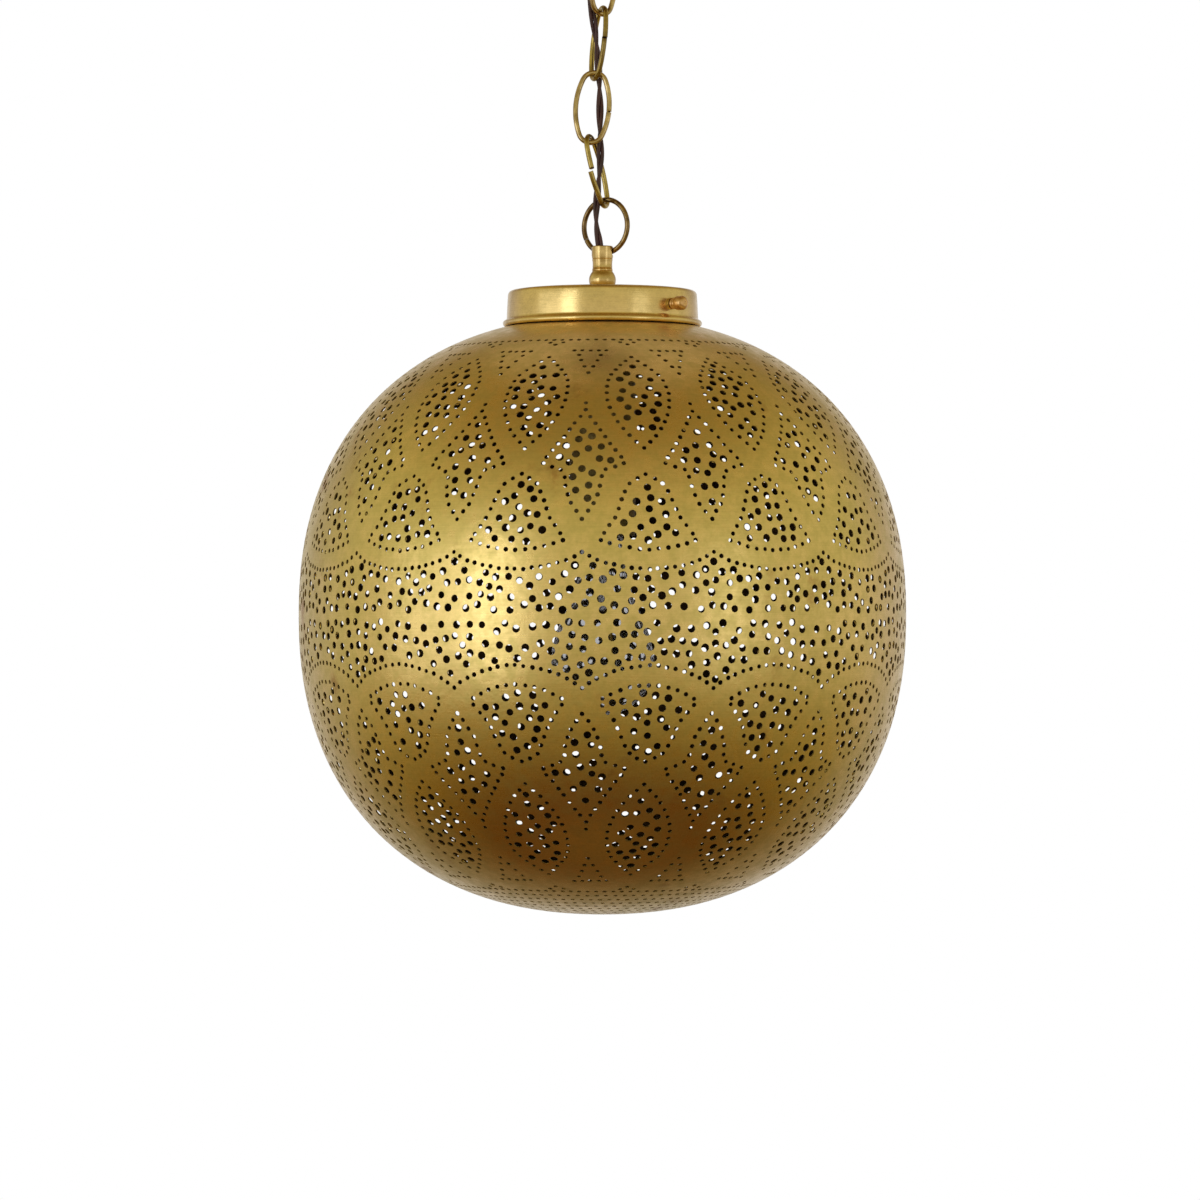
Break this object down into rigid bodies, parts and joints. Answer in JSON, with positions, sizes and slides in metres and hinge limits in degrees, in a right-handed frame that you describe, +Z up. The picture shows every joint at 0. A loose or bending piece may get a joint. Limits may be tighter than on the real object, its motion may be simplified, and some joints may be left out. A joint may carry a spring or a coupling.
{
  "type": "hanging lantern",
  "caption": "Chain-hung lantern: a perforated brass globe held by thumbscrews in a collar, with a loop finial, laced flex, lamp holder and ceiling canopy.",
  "frame": {"origin": "on the ceiling plane, midway between the two screw holes of the ceiling bracket, from which everything hangs", "axes": "+Z up, out of the ceiling; +X along the ceiling bracket and to the viewer's right; -Y towards the front"},
  "size_m": [0.35, 0.35, 0.6102],
  "materials": {
    "steel": "zinc plated",
    "antique_brass": "antiqued satin",
    "chain_brass": "dark antique",
    "turned_brass": "turned and lacquered",
    "collar_brass": "spun and brushed",
    "globe_brass": "hand punched, satin with a mottled patina",
    "red_brass": "turned, coppery",
    "dull_brass": "plain drawn",
    "brown_phenolic": "moulded",
    "porcelain": "glazed ceramic",
    "terminal_nylon": "moulded",
    "flex_sheath": "dark brown insulation",
    "black_glass": "vitrite",
    "clear_glass": "clear",
    "filament_phosphor": "phosphor coated"
  },
  "bodies": {
    "ceiling": {"ceiling_bracket": "steel", "canopy_cover": "antique_brass", "canopy_loop": "antique_brass", "loop_nuts": "steel", "flex_gland": "antique_brass", "gland_nut": "antique_brass", "terminal_block": "terminal_nylon", "terminal_screws": "steel", "ceiling_leads": "flex_sheath", "flex_1": "flex_sheath"},
    "link_1": {"link_1": "chain_brass", "flex_2": "flex_sheath"},
    "link_2": {"link_2": "chain_brass", "flex_3": "flex_sheath"},
    "link_3": {"link_3": "chain_brass", "flex_4": "flex_sheath"},
    "link_4": {"link_4": "chain_brass", "flex_5": "flex_sheath"},
    "ring": {"hanging_ring": "chain_brass"},
    "lantern": {"finial": "turned_brass", "stem": "turned_brass", "gallery": "collar_brass", "screw_bosses": "turned_brass", "stem_washer": "steel", "stem_nut": "steel", "spacer_tube": "dull_brass", "holder_cover": "dull_brass", "cover_nut": "steel", "holder_cap": "brown_phenolic", "holder_skirt": "brown_phenolic", "holder_insert": "porcelain", "socket_shell": "dull_brass", "centre_contact": "dull_brass", "holder_screws": "steel", "holder_leads": "flex_sheath", "flex_6": "flex_sheath"},
    "globe": {"globe_upper": "globe_brass", "globe_lower": "globe_brass"},
    "thumbscrew_1": {"thumbscrew_1": "red_brass"},
    "thumbscrew_2": {"thumbscrew_2": "red_brass"},
    "bulb": {"bulb_cap": "dull_brass", "bulb_insulator": "black_glass", "bulb_contact": "dull_brass", "bulb_glass": "clear_glass", "bulb_mount": "clear_glass", "bulb_filaments": "filament_phosphor"}
  },
  "joints": [
    {"name": "link_1_swing", "type": "hinge", "parent": "ceiling", "child": "link_1", "pos_m": [0, 0, -0.054], "axis": [0.6428, -0.766, 0], "range_deg": [-14, 14], "deforming": ["flex_1"]},
    {"name": "link_2_swing", "type": "hinge", "parent": "link_1", "child": "link_2", "pos_m": [-0.0002, 0, -0.09115], "axis": [0.766, 0.6428, -0.0041], "range_deg": [-14, 14], "deforming": ["flex_2"]},
    {"name": "link_3_swing", "type": "hinge", "parent": "link_2", "child": "link_3", "pos_m": [-0.0046, -0.0003, -0.12854], "axis": [0.3384, -0.9404, -0.0323], "range_deg": [-14, 14], "deforming": ["flex_3"]},
    {"name": "link_4_swing", "type": "hinge", "parent": "link_3", "child": "link_4", "pos_m": [-0.0072, -0.0045, -0.16587], "axis": [0.9976, -0.0077, -0.0686], "range_deg": [-14, 14], "deforming": ["flex_4"]},
    {"name": "ring_swing", "type": "hinge", "parent": "link_4", "child": "ring", "pos_m": [0.00188, 0.00259, -0.20171], "axis": [-0.2894, -0.9224, -0.2557], "range_deg": [-14, 14], "deforming": ["flex_5"]},
    {"name": "lantern_swing", "type": "hinge", "parent": "ring", "child": "lantern", "pos_m": [0.00188, 0.00259, -0.22886], "axis": [0.809, -0.5878, 0], "range_deg": [-14, 14], "deforming": ["flex_6"]},
    {"name": "globe_drop", "type": "slide", "parent": "lantern", "child": "globe", "axis": [0, 0, -1], "range_m": [0, 0.25]},
    {"name": "thumbscrew_1_travel", "type": "slide", "parent": "lantern", "child": "thumbscrew_1", "axis": [0.7071, -0.7071, 0], "range_m": [0, 0.005]},
    {"name": "thumbscrew_2_travel", "type": "slide", "parent": "lantern", "child": "thumbscrew_2", "axis": [-0.7071, 0.7071, 0], "range_m": [0, 0.005]},
    {"name": "bulb_travel", "type": "slide", "parent": "lantern", "child": "bulb", "axis": [0, 0, -1], "range_m": [0, 0.028]}
  ]
}
